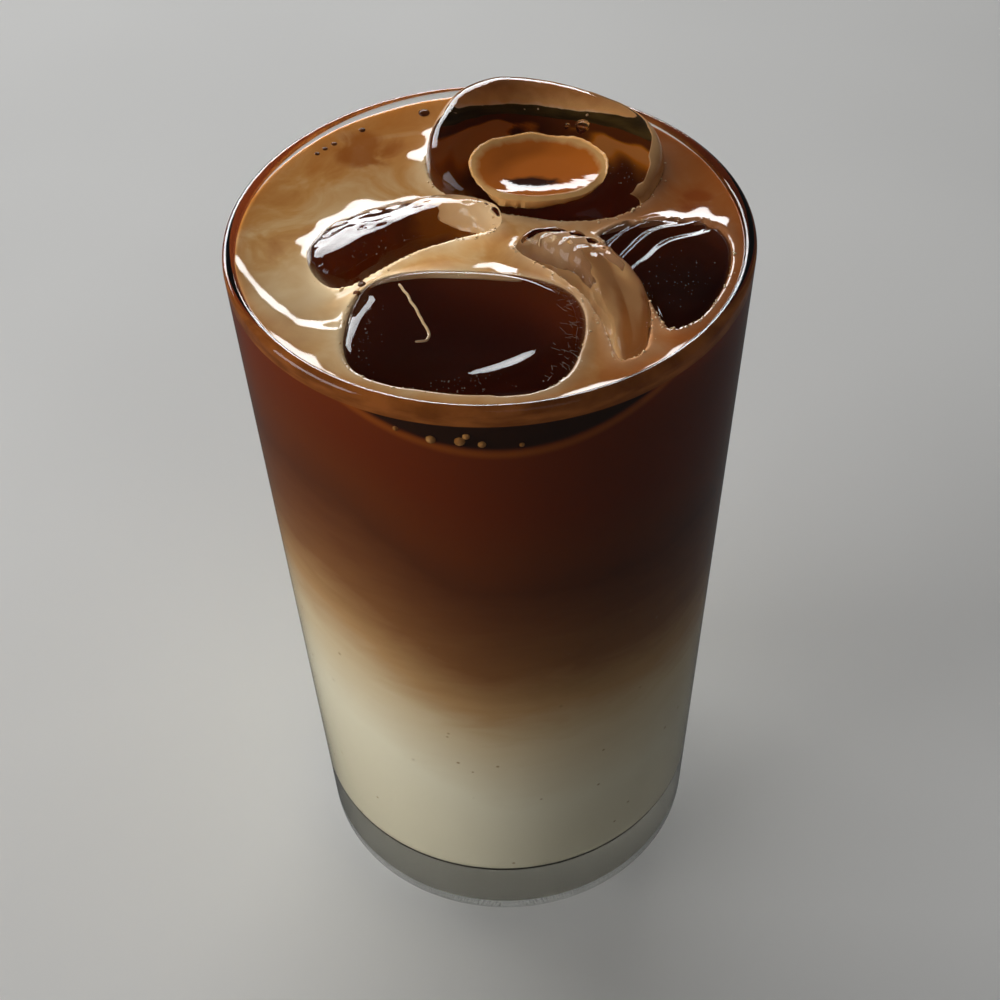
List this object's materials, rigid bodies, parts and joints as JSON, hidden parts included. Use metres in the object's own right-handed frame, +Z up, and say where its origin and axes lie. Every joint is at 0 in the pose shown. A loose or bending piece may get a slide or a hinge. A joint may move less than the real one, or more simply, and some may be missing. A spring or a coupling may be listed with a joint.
{
  "type": "iced latte in a glass",
  "caption": "Iced latte in a tall plain glass: milk below, coffee above, a thin crema on top and worn ice cubes floating in it.",
  "frame": {"origin": "centre of the glass's foot, on the surface that it stands on", "axes": "+Z up along the glass's axis, -Y towards the viewer of the picture, +X to the viewer's right"},
  "size_m": [0.08, 0.08, 0.1405],
  "materials": {
    "glass": "clear, polished",
    "milk": "smooth liquid behind glass",
    "blend": "smooth liquid behind glass",
    "coffee": "dark liquid behind glass",
    "crema": "wet, fine foam",
    "ice": "clear, wet"
  },
  "bodies": {
    "root": {"glass": "glass", "milk": "milk", "milky_coffee": "blend", "coffee": "coffee", "crema": "crema", "ice_back": "ice", "ice_left": "ice", "ice_front": "ice", "ice_mid": "ice", "ice_right": "ice"}
  },
  "joints": []
}
